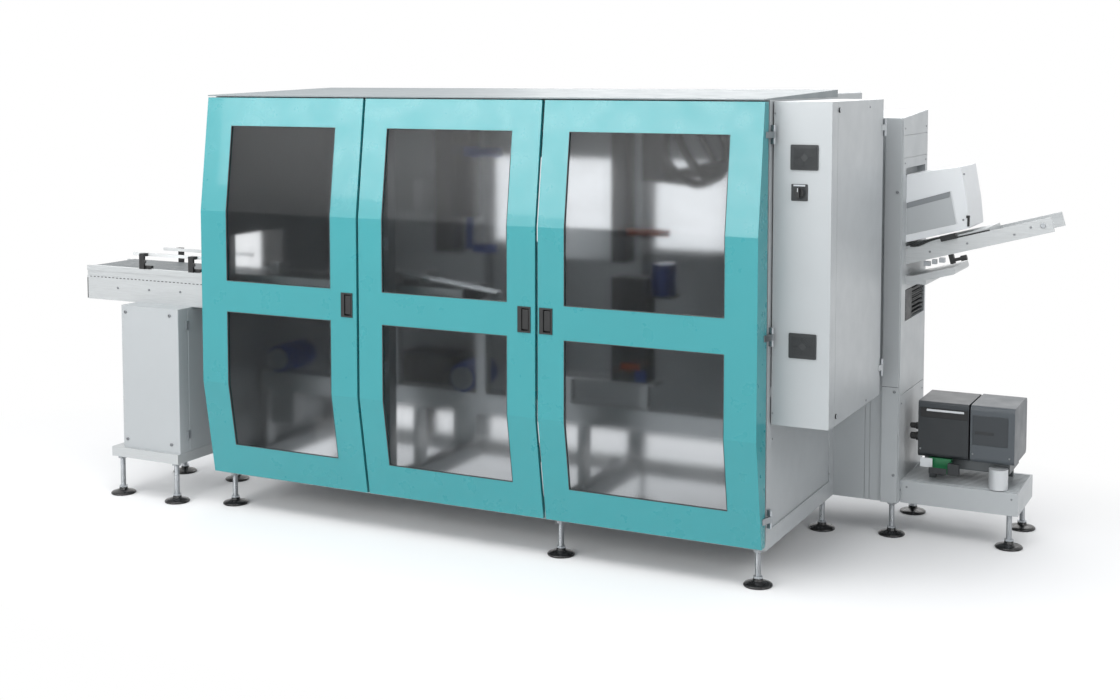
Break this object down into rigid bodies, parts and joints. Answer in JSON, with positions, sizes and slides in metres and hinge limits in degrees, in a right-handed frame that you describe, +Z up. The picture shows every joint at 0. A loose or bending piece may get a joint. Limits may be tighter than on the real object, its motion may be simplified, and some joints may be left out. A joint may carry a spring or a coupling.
{
  "type": "wraparound tray packer",
  "caption": "Wraparound tray packer with a bulged glazed cabinet, infeed conveyor, electrical cabinet, blank magazine and glue melter.",
  "frame": {"origin": "on the floor below the middle of the machine's bounding box", "axes": "+X along the machine from the infeed to the glue end, +Y to the rear, away from the glazed doors, +Z up"},
  "size_m": [4.852, 1.656, 2.137],
  "materials": {
    "teal_paint": "satin",
    "window_tint": "clear, slightly grey",
    "black_plastic": "matt",
    "light_grey_paint": "satin",
    "zinc_steel": "brushed",
    "dark_plastic": "matt",
    "cap_plastic": "matt",
    "stainless": "brushed",
    "belt_rubber": "matt",
    "guide_plastic": "satin",
    "foot_plastic": "matt",
    "motor_blue": "satin",
    "melter_grey": "satin",
    "melter_dark": "matt"
  },
  "bodies": {
    "machine": {"bed_legs": "stainless", "cabinet_posts": "light_grey_paint", "carton_guides": "stainless", "cross_rails": "light_grey_paint", "door_hinge_fixings": "zinc_steel", "drive_box": "melter_dark", "electrical_cabinet": "light_grey_paint", "electrical_mounting_plate": "zinc_steel", "filter_grilles": "dark_plastic", "foot_pads": "foot_plastic", "foot_spindles": "zinc_steel", "forming_heads": "melter_dark", "gearmotor_caps": "cap_plastic", "gearmotors": "motor_blue", "glue_platform": "light_grey_paint", "glue_pump": "melter_dark", "infeed_belt": "belt_rubber", "infeed_guide_brackets": "black_plastic", "infeed_guide_rails": "guide_plastic", "infeed_pedestal": "light_grey_paint", "infeed_rollers": "zinc_steel", "infeed_side_plates": "stainless", "left_end_panel": "light_grey_paint", "long_rails": "light_grey_paint", "machine_bed": "stainless", "magazine_bed": "stainless", "magazine_clamp": "black_plastic", "magazine_hood": "light_grey_paint", "magazine_rails": "stainless", "magazine_tray": "stainless", "main_switch_plate": "dark_plastic", "melter_base": "melter_dark", "melter_control": "melter_grey", "melter_lid_pins": "zinc_steel", "melter_tank": "melter_grey", "pedestal_base": "stainless", "rear_guard_panes": "window_tint", "rear_guards": "light_grey_paint", "rear_housing": "light_grey_paint", "right_end_panel": "light_grey_paint", "roof_panel": "light_grey_paint", "tower_body": "light_grey_paint", "tower_grille": "dark_plastic", "tower_post": "light_grey_paint", "transfer_belt": "belt_rubber", "transfer_conveyor": "stainless"},
    "left_door_body": {"left_door": "teal_paint", "left_door_panes": "window_tint", "left_door_pull": "black_plastic"},
    "middle_door_body": {"middle_door": "teal_paint", "middle_door_panes": "window_tint", "middle_door_pull": "black_plastic"},
    "right_door_body": {"right_door": "teal_paint", "right_door_panes": "window_tint", "right_door_pull": "black_plastic"},
    "electrical_door_body": {"electrical_door": "light_grey_paint", "electrical_door_locks": "black_plastic"},
    "main_switch_knob_body": {"main_switch_knob": "black_plastic"},
    "melter_lid_body": {"melter_lid": "melter_grey"}
  },
  "joints": [
    {"name": "left_door_hinge", "type": "hinge", "parent": "machine", "child": "left_door_body", "pos_m": [-1.536, -0.6605, 1.05], "axis": [0, 0, -1], "range_deg": [0, 90]},
    {"name": "middle_door_hinge", "type": "hinge", "parent": "machine", "child": "middle_door_body", "pos_m": [-0.507, -0.7715, 1.1], "axis": [0, 0, -1], "range_deg": [0, 90]},
    {"name": "right_door_hinge", "type": "hinge", "parent": "machine", "child": "right_door_body", "pos_m": [1.441, -0.6605, 1.1], "axis": [0, 0, 1], "range_deg": [0, 90]},
    {"name": "electrical_door_hinge", "type": "hinge", "parent": "machine", "child": "electrical_door_body", "pos_m": [1.691, 0.1875, 1.4], "axis": [0, 0, 1], "range_deg": [0, 90]},
    {"name": "main_switch_turn", "type": "hinge", "parent": "machine", "child": "main_switch_knob_body", "pos_m": [1.546, -0.6385, 1.713], "axis": [0, -1, 0], "range_deg": [0, 90]},
    {"name": "melter_lid_hinge", "type": "hinge", "parent": "machine", "child": "melter_lid_body", "pos_m": [1.937, 0.7065, 0.633], "axis": [-1, 0, 0], "range_deg": [0, 80]}
  ]
}
